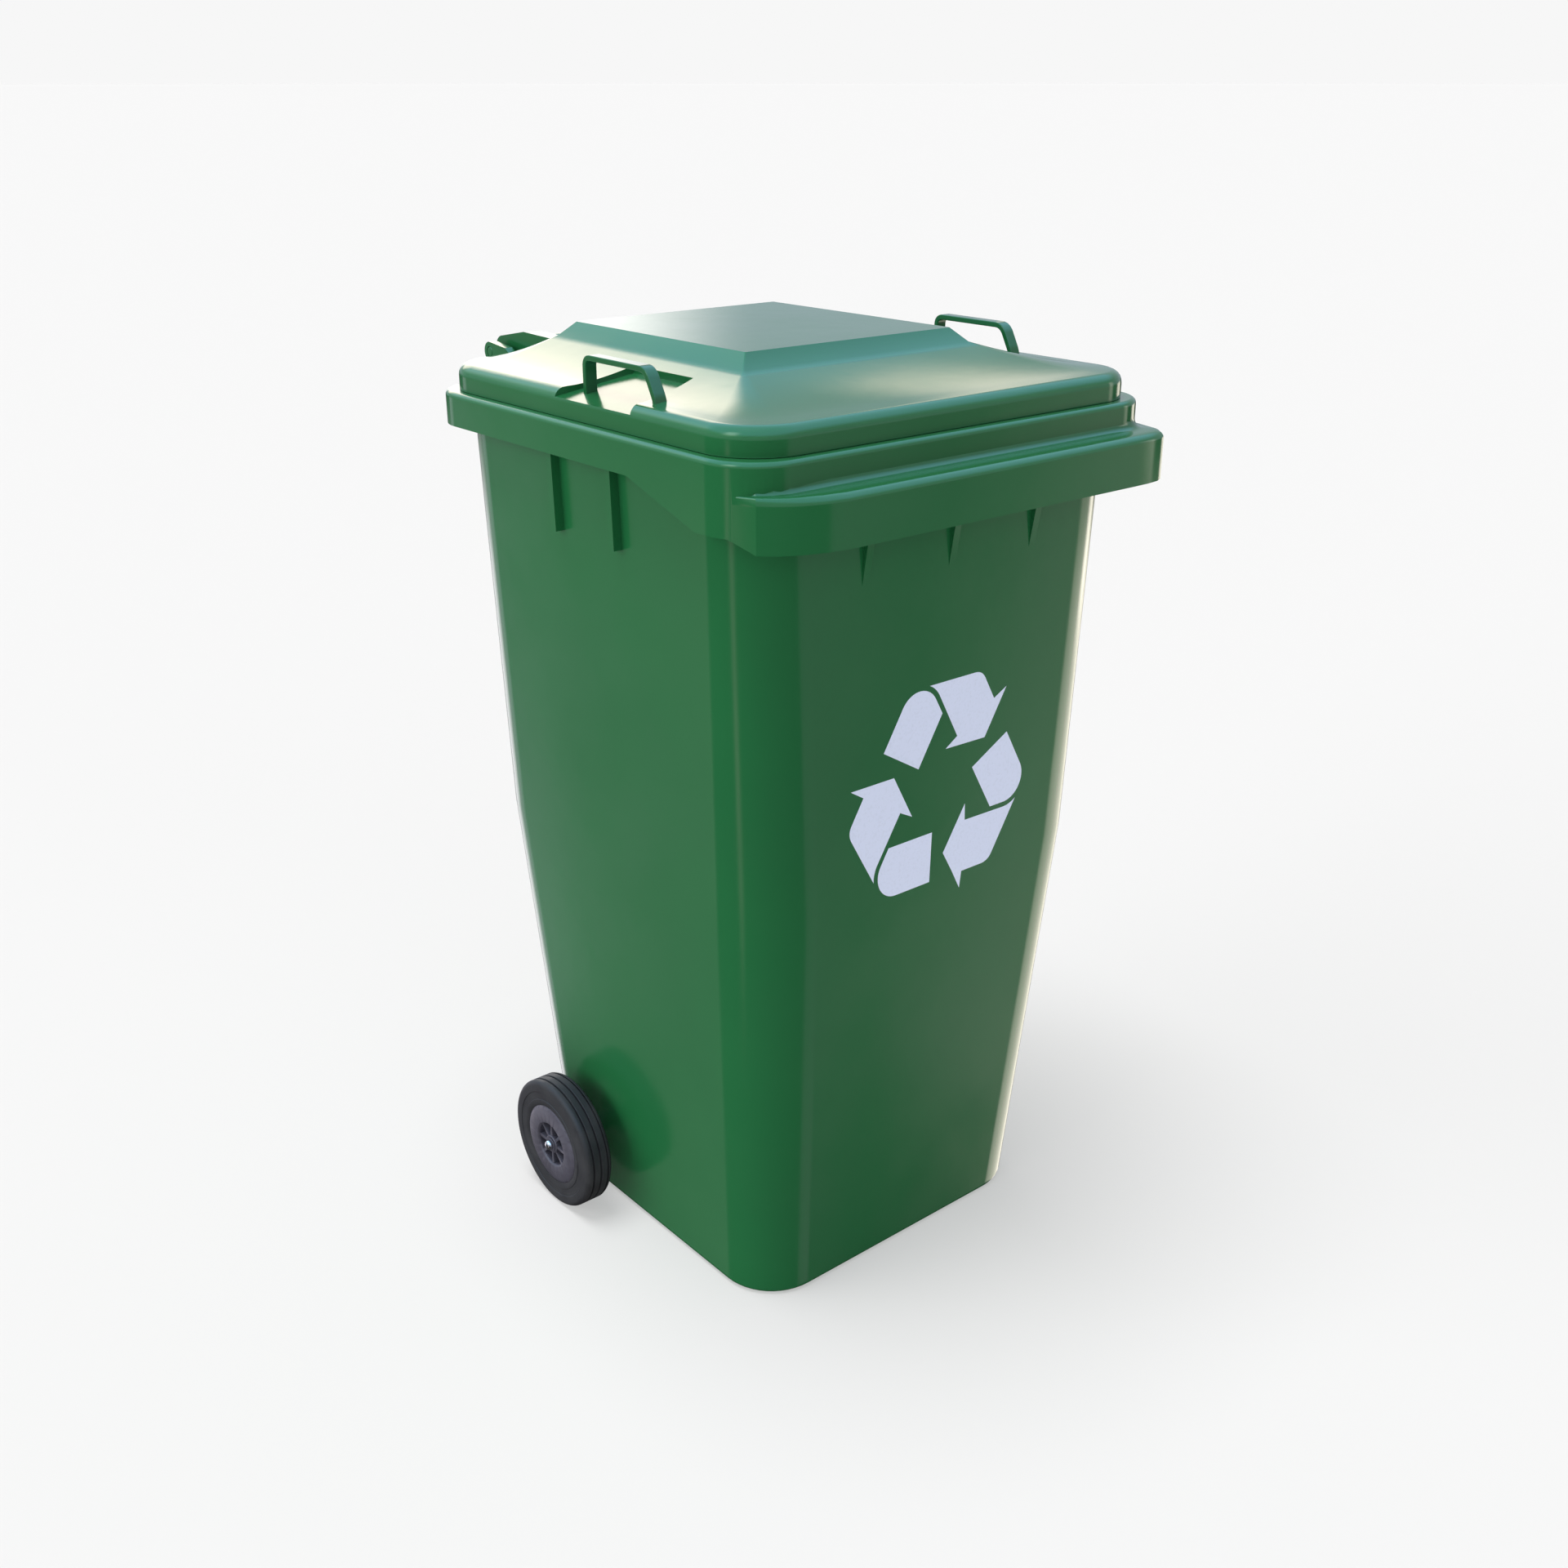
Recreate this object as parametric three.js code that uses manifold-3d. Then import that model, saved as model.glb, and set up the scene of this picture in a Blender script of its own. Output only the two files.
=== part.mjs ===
// Two-wheeled refuse bin, 240 litre size: a tapered tub with a lifting lip, a hinged lid, and two wheels
// on one axle. Millimetres. +Z is up, the lifting lip faces -Y, and the hinge and the wheels are at the
// back, +Y. The ground is z = 0.
import * as THREE from "three";
import { mergeVertices } from "three/addons/utils/BufferGeometryUtils.js";
import Module from "manifold-3d";

const wasm = await Module();
wasm.setup();

// ---------------------------------------------------------------- driving dimensions
const GAP = 0.3; // left between pieces that touch
const WALL = 4.2; // tub wall
const FLOOR = 5.5; // tub floor
const FAR = 400; // reaches past the bin sideways in any cut

// Tub outline at a few heights: half width, front, back and corner radius. It narrows faster below the waist.
const TUB = [
  { z: 0, half: 218.7, front: -229.4, back: 219, corner: 69.5 },
  { z: 510, half: 251.4, front: -270, back: 263, corner: 78 },
  { z: 868, half: 264, front: -274.6, back: 263.5, corner: 72 },
  { z: 1011, half: 268.5, front: -276.5, back: 264, corner: 70 },
];
const BASE_ROUND = 9; // rounding round the foot of the tub
const CORNER_STEPS = 6; // facets in a quarter turn of the tub, rim and lid

// Rim round the mouth: a flat flange with a skirt hanging from its edge.
const RIM = { half: 290, front: -296, back: 280, corner: 60, top: 1011, round: 6 };
const SKIN = 4.2; // thickness of the flange, the skirt and the lip
const SKIRT_FOOT = [ // height of the skirt's lower edge, from the back of the bin to the front
  [RIM.back + 20, 974], [-111, 974], [-220, 939], [-262, 939], [-290, 927], [-360, 927],
];

// Lifting lip across the front: the lorry's comb hooks up under it. Its left end is swept back to a flat
// facet, and its right end is squarer. Each plan runs from an end to the middle of the front as a distance
// from the middle and y, and each root is the same line on the face of the rim.
const LIP_FOOT = 900;
const LIP_LEFT = {
  plan: [[285, -258], [272, -290], [258, -304], [238, -315], [214, -323], [188, -327]],
  root: [[283, -257], [266.2, -282.6], [252.5, -290.6], [235.9, -294.7], [214, -295], [188, -295]],
};
const LIP_RIGHT = {
  plan: [[288, -262], [280, -311], [273.5, -319.5], [262, -324.5], [244, -326.6], [222, -327]],
  root: [[284.3, -260.3], [263, -285.5], [257.5, -288.7], [250.2, -292], [239.1, -294.8], [222, -295]],
};
// Share of the way from the plan to the root, and the height there. It gives an upright face, a rounding,
// a shelf and a hollow rounding up the rim.
const LIP_SECTION = [
  [0, LIP_FOOT], [0, 972], [0.04, 975.5], [0.13, 978.5], [0.26, 980],
  [0.72, 980.5], [0.84, 981.8], [0.93, 984.6], [0.98, 989], [1, 995],
];

// Stiffening ribs below the rim.
const SIDE_RIB = { y: [50, -58], thick: 10, proud: 10, foot: 886 };
const GUSSET = { x: [-120.6, 0, 120.6], thick: 9, tip: 868, reach: 10, root: 42, rootFoot: 955, top: 977 };

// Hinge line and the rear grip bar, which share one axis.
const HINGE = { y: 322, z: 1034 };
const LUG = { radius: 11.5, front: 287, top: 1042, outer: [170, 180], inner: [118, 128] }; // on the rim
const GRIP = { radius: 13 };
const ARM = { radius: 17, from: 140, to: 161, knee: [275, 1060], root: [214, 1058.5] }; // on the lid
const PIN = { radius: 6, tip: 100, chamfer: 1 };

// Axle recess under the back of the tub.
const RECESS = { front: 92, roofFront: 106, roofBack: 112, cornerCut: 12 };
const AXLE = { y: 109, z: 84, radius: 7, tipRadius: 4.7, shoulder: 290, end: 294 };
const CHEEK = { from: 204, to: 215, radius: 22 };

// Wheels.
const TYRE = { radius: 84, inner: 253, outer: 290, seat: 52 };
const GROOVE = { wide: 2.6, deep: 3, places: [259.5, 270, 280.5] };
const RIM_FACE = 291; // outer face of the wheel centre
const SPOKES = 8;
const WHEEL_STEPS = 40; // facets round a wheel
const BORE_CLEAR = 0.35;
const HUB = { bushWall: 2, boss: 12, ringInner: 28, lip: 47, spoke: 3.8 };
const WASHER = { radius: 9.4, thick: 1 };
const CAP = { radius: 6.5, skirt: 1.5, dome: 4.5 };
const SPACER_END = 244.4;

// Lid.
const LID = {
  half: 278.5, front: -284.4, back: 269, corner: 62,
  foot: 1011.5, round: 13, wall: 3.5, sweep: 1.6, tilt: 0.18,
};
const LID_EDGE = 1040; // height where the sloping top meets the edge rounding
const PLATEAU = { foot: 1064, top: 1079, half: 159.3, front: -132, back: 204, chamfer: 15.3, corner: 1.5 };
// Hand recess beside each lid handle: [half width, back, front, floor height] at its inner and outer ends.
const POCKET = { inner: [188, 16, -88, 1047], outer: [276, 29, -104, 1031] };
const HANDLE = {
  outer: 257, wide: 14, thick: 6, top: 1074, rear: 5, front: -100, frontFoot: -117, round: 10, foot: 1024,
};

// ---------------------------------------------------------------- materials
const green = { color: 0x1f6a3a, roughness: 0.38, metalness: 0 };
const darkGreen = { color: 0x1b5f34, roughness: 0.42, metalness: 0 };
const rubber = { color: 0x2b2c30, roughness: 0.75, metalness: 0 };
const hubGrey = { color: 0x55535f, roughness: 0.5, metalness: 0 };
const steel = { color: 0xb9bcc0, roughness: 0.3, metalness: 1 };
const blackPlastic = { color: 0x232427, roughness: 0.55, metalness: 0 };

// ---------------------------------------------------------------- solids and how they are placed
function solid(geometry) {
  const bare = geometry.clone();
  bare.deleteAttribute("normal");
  bare.deleteAttribute("uv");
  const merged = mergeVertices(bare, 1e-4);
  return new wasm.Manifold(new wasm.Mesh({
    numProp: 3,
    vertProperties: new Float32Array(merged.attributes.position.array),
    triVerts: new Uint32Array(merged.index.array),
  }));
}

const bin = new THREE.Group();

function piece(name, body, finish) {
  const mesh = body.getMesh();
  const geometry = new THREE.BufferGeometry();
  geometry.setAttribute("position", new THREE.BufferAttribute(mesh.vertProperties, 3));
  geometry.setIndex(new THREE.BufferAttribute(mesh.triVerts, 1));
  geometry.computeVertexNormals();
  const node = new THREE.Mesh(geometry, new THREE.MeshStandardMaterial(finish));
  node.name = name;
  bin.add(node);
}

const join = (...parts) => parts.reduce((whole, part) => whole.add(part));

// A rounded rectangle seen from above, as a closed ring of points at one height.
function ring({ half, front, back, corner, z }) {
  const centres = [[half - corner, back - corner], [-half + corner, back - corner],
    [-half + corner, front + corner], [half - corner, front + corner]];
  return centres.flatMap(([x, y], quarter) => {
    return Array.from({ length: CORNER_STEPS + 1 }, (_, step) => {
      const angle = (quarter + step / CORNER_STEPS) * Math.PI / 2;
      return [x + corner * Math.cos(angle), y + corner * Math.sin(angle), z];
    });
  });
}

// The same outline pulled in by an equal distance all round.
function inset(outline, distance, z = outline.z) {
  return { half: outline.half - distance, front: outline.front + distance, back: outline.back - distance,
    corner: Math.max(outline.corner - distance, PLATEAU.corner), z };
}

// A closed solid through rings that have the same number of points, from the lowest ring to the highest.
function loft(rings) {
  const count = rings[0].length;
  const index = [];
  for (let level = 0; level + 1 < rings.length; level += 1) {
    for (let i = 0; i < count; i += 1) {
      const a = level * count + i;
      const b = level * count + (i + 1) % count;
      index.push(a, b, b + count, a, b + count, a + count);
    }
  }
  const topStart = (rings.length - 1) * count;
  for (let i = 1; i + 1 < count; i += 1) {
    index.push(0, i + 1, i);
    index.push(topStart, topStart + i, topStart + i + 1);
  }
  const geometry = new THREE.BufferGeometry();
  geometry.setAttribute("position", new THREE.Float32BufferAttribute(rings.flat(2), 3));
  geometry.setIndex(index);
  return solid(geometry);
}

// A flat outline pushed along one axis. The outline is [y, z] along x, [x, z] along y, and [x, y] along z.
function slab(axis, outline, from, to) {
  const depth = to - from;
  const shape = new THREE.Shape(outline.map(([u, v]) => new THREE.Vector2(u, v)));
  const geometry = new THREE.ExtrudeGeometry(shape, { depth, bevelEnabled: false });
  if (axis === "x") {
    geometry.applyMatrix4(new THREE.Matrix4().makeBasis(
      new THREE.Vector3(0, 1, 0), new THREE.Vector3(0, 0, 1), new THREE.Vector3(1, 0, 0)));
    geometry.translate(from, 0, 0);
  } else if (axis === "y") {
    geometry.applyMatrix4(new THREE.Matrix4().makeBasis(
      new THREE.Vector3(1, 0, 0), new THREE.Vector3(0, 0, 1), new THREE.Vector3(0, -1, 0)));
    geometry.translate(0, to, 0);
  } else {
    geometry.translate(0, 0, from);
  }
  return solid(geometry);
}

// A round rod lying along x.
function rod(radius, from, to, { y, z }, steps = 32) {
  const geometry = new THREE.CylinderGeometry(radius, radius, to - from, steps);
  geometry.rotateZ(-Math.PI / 2);
  geometry.translate((from + to) / 2, y, z);
  return solid(geometry);
}

// A turned shape round the x axis through a centre. The profile is [radius, x], and it closes on itself.
function turned(profile, { y, z }, steps) {
  const points = [...profile, profile[0]].map(([radius, x]) => new THREE.Vector2(radius, x));
  const geometry = new THREE.LatheGeometry(points, steps);
  geometry.rotateZ(-Math.PI / 2);
  geometry.translate(0, y, z);
  return solid(geometry);
}

// Points along a round stretch, from one angle to another, in degrees.
function arc([u, v], radius, start, end, steps) {
  return Array.from({ length: steps + 1 }, (_, step) => {
    const angle = THREE.MathUtils.degToRad(start + (end - start) * step / steps);
    return [u + radius * Math.cos(angle), v + radius * Math.sin(angle)];
  });
}

const mirrored = (body) => body.mirror([1, 0, 0]);

// ---------------------------------------------------------------- tub
function tubOutline(z) {
  const top = TUB.findIndex((row) => row.z >= z);
  const above = TUB[Math.max(top, 1)];
  const below = TUB[Math.max(top, 1) - 1];
  const share = (z - below.z) / (above.z - below.z);
  const between = (key) => below[key] + (above[key] - below[key]) * share;
  const [half, front, back, corner] = ["half", "front", "back", "corner"].map(between);
  return { half, front, back, corner, z };
}

// Everything below and behind the axle recess. A larger margin gives the same cut for the inside of the wall.
function recessCut(margin) {
  const front = RECESS.front - margin;
  const slope = (RECESS.roofBack - RECESS.roofFront) / (TUB[0].back - RECESS.front);
  const roof = (y) => RECESS.roofFront + margin + slope * (y - RECESS.front);
  return slab("x", [
    [front, -10], [FAR, -10], [FAR, roof(FAR)], [front + RECESS.cornerCut, roof(front + RECESS.cornerCut)],
    [front, roof(front) - RECESS.cornerCut],
  ], -FAR, FAR);
}

function tubOutside() {
  const rings = [[0, BASE_ROUND], [BASE_ROUND * 0.3, BASE_ROUND * 0.3], [BASE_ROUND, 0]]
    .map(([z, distance]) => ring(inset(tubOutline(z), distance)));
  rings.push(...TUB.slice(1).map((row) => ring(row)));
  return loft(rings).subtract(recessCut(0));
}

function tubInside() {
  const rings = [[FLOOR, BASE_ROUND], [FLOOR + BASE_ROUND, 0]]
    .map(([z, distance]) => ring(inset(tubOutline(z), WALL + distance)));
  rings.push(...TUB.slice(1, -1).map((row) => ring(inset(row, WALL))));
  rings.push(ring(inset(tubOutline(RIM.top), WALL, RIM.top + 10)));
  return loft(rings).subtract(recessCut(FLOOR));
}

// The solid under the skirt's lower edge, which gives the skirt its stepped line.
function underSkirt() {
  return slab("x", [[FAR, 0], ...SKIRT_FOOT, [-FAR, 0]].reverse(), -FAR, FAR);
}

function rimBlock(shrink) {
  const outline = inset(RIM, shrink);
  const top = RIM.top - shrink;
  const rings = [ring({ ...outline, z: LIP_FOOT - shrink }), ring({ ...outline, z: top - RIM.round })];
  for (const angle of [45, 90]) {
    const turn = THREE.MathUtils.degToRad(angle);
    const pulled = RIM.round * (1 - Math.cos(turn));
    rings.push(ring(inset(outline, pulled, top - RIM.round * (1 - Math.sin(turn)))));
  }
  return loft(rings);
}

// One side of the lip at one height, from its end to the middle of the front.
function lipSide({ plan, root }, sign, share, height, shrink) {
  return plan.map(([x, y], i) => {
    const [rootX, rootY] = root[i];
    return [sign * (x + (rootX - x) * share - shrink), y + (rootY - y) * share + shrink, height - shrink];
  });
}

function lipBlock(shrink) {
  return loft(LIP_SECTION.map(([share, height]) => [
    ...lipSide(LIP_LEFT, -1, share, height, shrink),
    ...lipSide(LIP_RIGHT, 1, share, height, shrink).reverse(),
  ]));
}

// One hinge lug: a plate from the back of the rim to a round eye on the hinge line.
function lug(from, to) {
  const root = RIM.back - 12;
  const eye = arc([HINGE.y, HINGE.z], LUG.radius, -48, 96, 10);
  const foot = SKIRT_FOOT[0][1];
  return slab("x", [
    [root, foot], [RIM.back + 4, foot], ...eye, [LUG.front, LUG.top], [RIM.back - 6, LUG.top - 8],
    [RIM.back - 6, 1004], [root, 1004],
  ], from, to);
}

// One cheek under the tub, which carries the axle.
function cheek(from, to) {
  const eye = arc([AXLE.y, AXLE.z], CHEEK.radius, -90, 60, 10);
  const roof = RECESS.roofFront + FLOOR / 2;
  const root = RECESS.front - FLOOR / 2;
  return slab("x", [
    [root, AXLE.z - CHEEK.radius], ...eye, [AXLE.y + 34, roof + 8], [root, roof + 8],
  ], from, to);
}

function tub() {
  const flange = join(rimBlock(0), lipBlock(0))
    .subtract(join(rimBlock(SKIN), lipBlock(SKIN)))
    .subtract(underSkirt());
  const ribTop = RIM.top - SKIN / 2;
  const wall = TUB[2].half;
  const sideRibs = SIDE_RIB.y.map((y) => slab("y", [
    [wall - 8, SIDE_RIB.foot], [wall + SIDE_RIB.proud + 1, SIDE_RIB.foot],
    [wall + SIDE_RIB.proud + 4, ribTop], [wall - 8, ribTop],
  ], y - SIDE_RIB.thick / 2, y + SIDE_RIB.thick / 2));
  const face = TUB[2].front;
  const gussets = GUSSET.x.map((x) => slab("x", [
    [face + 8, GUSSET.tip], [face, GUSSET.tip], [face - GUSSET.reach, SKIRT_FOOT[4][1]],
    [face - GUSSET.root, GUSSET.rootFoot], [face - GUSSET.root, GUSSET.top], [face + 8, GUSSET.top],
  ].reverse(), x - GUSSET.thick / 2, x + GUSSET.thick / 2));
  const lugs = [lug(...LUG.outer), lug(...LUG.inner)];
  const cheeks = [cheek(CHEEK.from, CHEEK.to)];
  const grip = rod(GRIP.radius, -LUG.inner[0] - 1, LUG.inner[0] + 1, HINGE);
  const oneSide = [...sideRibs, ...lugs, ...cheeks];
  const pinHole = rod(PIN.radius + BORE_CLEAR, PIN.tip - 1, LUG.outer[1] + 5, HINGE, 24);
  const axleHole = rod(AXLE.radius + BORE_CLEAR, CHEEK.from - 5, CHEEK.to + 5, AXLE, 24);
  return join(tubOutside(), flange, grip, ...gussets, ...oneSide, ...oneSide.map(mirrored))
    .subtract(tubInside())
    .subtract(join(pinHole, mirrored(pinHole), axleHole, mirrored(axleHole)));
}

// ---------------------------------------------------------------- lid
// The outline of the lid's top at a share of the way from its edge, 0, to the foot of the plateau, 1.
function lidSlope(share) {
  const between = (a, b) => a + (b - a) * share;
  return {
    half: between(LID.half - LID.round, PLATEAU.half),
    front: between(LID.front + LID.round, PLATEAU.front),
    back: between(LID.back - LID.round, PLATEAU.back),
    corner: between(LID.corner - LID.round, PLATEAU.corner),
    z: LID_EDGE + (PLATEAU.foot - LID_EDGE) * share ** LID.sweep,
  };
}

function lidBlock(shrink) {
  const rings = [ring(inset(LID, shrink, LID.foot - shrink)), ring(inset(LID, shrink, LID_EDGE - LID.round))];
  for (const angle of [30, 60]) {
    const turn = THREE.MathUtils.degToRad(angle);
    const pulled = LID.round * (1 - Math.cos(turn));
    const height = LID_EDGE - LID.round * (1 - Math.sin(turn)) - shrink * turn / 2;
    rings.push(ring(inset(LID, shrink + pulled, height)));
  }
  for (const share of [0, 0.25, 0.5, 0.75, 1]) {
    const outline = lidSlope(share);
    rings.push(ring(inset(outline, shrink, outline.z - shrink)));
  }
  rings.push(ring(inset(PLATEAU, shrink + PLATEAU.chamfer, PLATEAU.top - shrink)));
  return loft(rings);
}

// A hand recess as a solid, to cut out of the left side of the lid. A larger margin gives its inner skin.
function pocket(margin) {
  const [innerHalf, innerBack, innerFront, innerFloor] = POCKET.inner;
  const [outerHalf, outerBack, outerFront, outerFloor] = POCKET.outer;
  const reach = 320;
  const grow = (reach - innerHalf) / (outerHalf - innerHalf);
  const at = (inner, outer) => inner + (outer - inner) * grow;
  const plan = slab("z", [
    [-reach, at(innerFront, outerFront) - margin], [-innerHalf + margin, innerFront - margin],
    [-innerHalf + margin, innerBack + margin], [-reach, at(innerBack, outerBack) + margin],
  ], LID.foot - 20, PLATEAU.top + 20);
  const floor = slab("y", [
    [-reach, at(innerFloor, outerFloor) - margin], [-innerHalf + 30, innerFloor - margin + 30 * LID.tilt],
    [-innerHalf + 30, PLATEAU.top + 10], [-reach, PLATEAU.top + 10],
  ], -200, 200);
  return plan.intersect(floor);
}

// Points along a bent strip, with its corners rounded, then thickened to both sides.
function strip(corners, round, thick) {
  const curve = new THREE.CurvePath();
  const vectors = corners.map(([u, v]) => new THREE.Vector2(u, v));
  let start = vectors[0];
  for (let i = 1; i + 1 < vectors.length; i += 1) {
    const before = vectors[i].clone().add(vectors[i - 1].clone().sub(vectors[i]).setLength(round));
    const after = vectors[i].clone().add(vectors[i + 1].clone().sub(vectors[i]).setLength(round));
    curve.add(new THREE.LineCurve(start, before));
    curve.add(new THREE.QuadraticBezierCurve(before, vectors[i], after));
    start = after;
  }
  curve.add(new THREE.LineCurve(start, vectors.at(-1)));
  const points = [vectors[0]];
  for (const stretch of curve.curves) {
    const steps = stretch.isQuadraticBezierCurve ? 5 : 1;
    for (let step = 1; step <= steps; step += 1) points.push(stretch.getPoint(step / steps));
  }
  const side = (sign) => points.map((point, i) => {
    const before = points[Math.max(i - 1, 0)];
    const after = points[Math.min(i + 1, points.length - 1)];
    const along = after.clone().sub(before).normalize();
    return [point.x - sign * along.y * thick / 2, point.y + sign * along.x * thick / 2];
  });
  return [...side(1).reverse(), ...side(-1)];
}

// A strap handle for the left side of the lid. Its two legs go down through slots in the lid's skin.
function handle(ease) {
  const mid = HANDLE.top - HANDLE.thick / 2;
  const outline = strip([
    [HANDLE.rear, HANDLE.foot - ease], [HANDLE.rear, mid], [HANDLE.front, mid],
    [HANDLE.frontFoot, LID_EDGE], [HANDLE.frontFoot, HANDLE.foot - ease],
  ], HANDLE.round, HANDLE.thick + 2 * ease);
  return slab("x", outline, -HANDLE.outer - ease, -HANDLE.outer + HANDLE.wide + ease);
}

// An arm moulded on the back of the lid, with an eye that turns on the hinge pin.
function arm() {
  const eye = arc([HINGE.y, HINGE.z], ARM.radius, -95, 76, 9);
  return slab("x", [
    [LID.back - 5, 1016], ...eye, ARM.knee, ARM.root, [ARM.root[0], LID_EDGE], [LID.back - 5, 1030],
  ], ARM.from, ARM.to);
}

function lid() {
  const pockets = (margin) => join(pocket(margin), mirrored(pocket(margin)));
  const pinHole = rod(PIN.radius + BORE_CLEAR, ARM.from - 5, ARM.to + 5, HINGE, 24);
  return join(lidBlock(0), arm(), mirrored(arm()))
    .subtract(pockets(0))
    .subtract(lidBlock(LID.wall).subtract(pockets(LID.wall)))
    .subtract(join(handle(GAP), mirrored(handle(GAP))))
    .subtract(join(pinHole, mirrored(pinHole)));
}

function hingePin() {
  const { radius, tip, chamfer } = PIN;
  const end = LUG.outer[1];
  return turned([[0, tip], [radius - chamfer, tip], [radius, tip + chamfer], [radius, end - chamfer],
    [radius - chamfer, end], [0, end]], HINGE, 24);
}

// ---------------------------------------------------------------- wheels
function tyre() {
  const { radius, inner, outer, seat } = TYRE;
  const { wide, deep, places } = GROOVE;
  const profile = [[seat, inner + 2], [radius - 10, inner], [radius - 2, inner + 1.5], [radius, inner + 4]];
  for (const x of places) {
    profile.push([radius, x - wide / 2], [radius - deep, x - wide / 4], [radius - deep, x + wide / 4],
      [radius, x + wide / 2]);
  }
  profile.push([radius, outer - 5], [radius - 3, outer - 1.5], [radius - 10, outer], [seat, outer - 1]);
  return turned(profile, AXLE, WHEEL_STEPS);
}

function wheelCentre() {
  const rimRadius = TYRE.seat - GAP;
  const { inner, outer } = TYRE;
  const web = inner + 14;
  const spokeFace = RIM_FACE - 2.5;
  const bore = AXLE.radius + HUB.bushWall + GAP;
  const shell = turned([
    [bore, inner - 6], [HUB.boss, inner - 6], [HUB.boss, web], [HUB.ringInner, web],
    [HUB.ringInner, inner + 3], [rimRadius, inner + 3], [rimRadius, outer - 1],
    [HUB.lip, RIM_FACE], [HUB.ringInner + 2, RIM_FACE], [HUB.ringInner, RIM_FACE - 2],
    [HUB.ringInner, web + 4], [HUB.boss, web + 4], [HUB.boss, RIM_FACE - 2],
    [HUB.boss - 1, RIM_FACE - 1], [bore, RIM_FACE - 1],
  ], AXLE, WHEEL_STEPS);
  const spokes = Array.from({ length: SPOKES }, (_, i) => {
    const geometry = new THREE.BoxGeometry(spokeFace - web, HUB.spoke, HUB.ringInner - HUB.boss + 3);
    geometry.translate((spokeFace + web) / 2, 0, (HUB.ringInner + HUB.boss) / 2);
    geometry.rotateX(2 * Math.PI * i / SPOKES);
    geometry.translate(0, AXLE.y, AXLE.z);
    return solid(geometry);
  });
  return join(shell, ...spokes);
}

// A bright bar turned down at both ends, so that its shoulders hold the outer washers off the wheels.
function axle() {
  const { radius, tipRadius, shoulder, end } = AXLE;
  return turned([
    [0, -end], [tipRadius, -end], [tipRadius, -shoulder], [radius, -shoulder],
    [radius, shoulder], [tipRadius, shoulder], [tipRadius, end], [0, end],
  ], AXLE, 24);
}

function ringOf(inside, outside, from, to) {
  return turned([[inside, from], [outside, from], [outside, to], [inside, to]], AXLE, 24);
}

// The push-on cap: a shallow cup with a domed end, which grips the end of the axle.
function axleCap() {
  const { radius, dome, skirt } = CAP;
  const from = AXLE.shoulder + WASHER.thick + 2 * GAP;
  const inside = AXLE.tipRadius + BORE_CLEAR;
  const end = AXLE.end + GAP;
  const points = [[0, end], [inside, end], [inside, from], [radius, from], [radius, from + skirt]];
  for (const angle of [30, 60]) {
    const turn = THREE.MathUtils.degToRad(angle);
    points.push([radius * Math.cos(turn), from + skirt + dome * Math.sin(turn)]);
  }
  points.push([0, from + skirt + dome]);
  return turned(points, AXLE, 24);
}

// ---------------------------------------------------------------- assembly
piece("bin_body", tub(), green);
piece("lid", lid(), green);
piece("axle", axle(), steel);
for (const [side, place] of [["left", (body) => body], ["right", mirrored]]) {
  piece(`lid_handle_${side}`, place(handle(0)), darkGreen);
}
for (const [side, place] of [["left", mirrored], ["right", (body) => body]]) {
  piece(`hinge_pin_${side}`, place(hingePin()), green);
  piece(`wheel_spacer_${side}`, place(ringOf(AXLE.radius + BORE_CLEAR, HUB.boss,
    CHEEK.to + GAP, SPACER_END)), blackPlastic);
  piece(`inner_washer_${side}`, place(ringOf(AXLE.radius + BORE_CLEAR, WASHER.radius,
    SPACER_END + GAP, SPACER_END + GAP + WASHER.thick)), steel);
  piece(`wheel_centre_${side}`, place(wheelCentre()), hubGrey);
  piece(`tyre_${side}`, place(tyre()), rubber);
  piece(`wheel_bush_${side}`, place(ringOf(AXLE.radius + BORE_CLEAR, AXLE.radius + HUB.bushWall,
    TYRE.inner - 6, RIM_FACE - 1)), blackPlastic);
  piece(`outer_washer_${side}`, place(ringOf(AXLE.tipRadius + BORE_CLEAR, WASHER.radius,
    AXLE.shoulder + GAP, AXLE.shoulder + GAP + WASHER.thick)), hubGrey);
  piece(`axle_cap_${side}`, place(axleCap()), steel);
}

export default bin;
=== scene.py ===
import math

import bmesh
import bpy
from mathutils import Matrix, Vector


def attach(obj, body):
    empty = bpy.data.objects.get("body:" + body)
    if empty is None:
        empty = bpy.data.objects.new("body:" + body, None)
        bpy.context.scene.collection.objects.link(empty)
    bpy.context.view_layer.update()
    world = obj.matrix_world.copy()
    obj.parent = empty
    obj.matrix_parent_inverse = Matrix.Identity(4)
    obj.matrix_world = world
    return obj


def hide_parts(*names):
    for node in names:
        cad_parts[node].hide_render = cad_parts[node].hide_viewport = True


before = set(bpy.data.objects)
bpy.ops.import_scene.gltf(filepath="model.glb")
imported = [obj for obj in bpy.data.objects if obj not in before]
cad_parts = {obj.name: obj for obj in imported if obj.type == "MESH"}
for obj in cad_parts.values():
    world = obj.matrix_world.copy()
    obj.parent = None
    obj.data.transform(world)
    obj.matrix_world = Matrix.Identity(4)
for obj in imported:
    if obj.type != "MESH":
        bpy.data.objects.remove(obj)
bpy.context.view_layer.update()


# ---------------------------------------------------------------- camera, floor and light
# The bin stands on a plain pale floor that runs back without a visible horizon. A broad lamp overhead, one
# from the left and a faint one in front light it softly; a tent round the studio shows only in its gloss.
CAMERA_PLACE = (-1.2216, -1.4665, 1.3294)
CAMERA_TURN = math.radians(39.88)  # from +Y towards +X
CAMERA_TILT = math.radians(-22.57)
LENS = 38.85
FLOOR_HALF = 900.0
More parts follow.
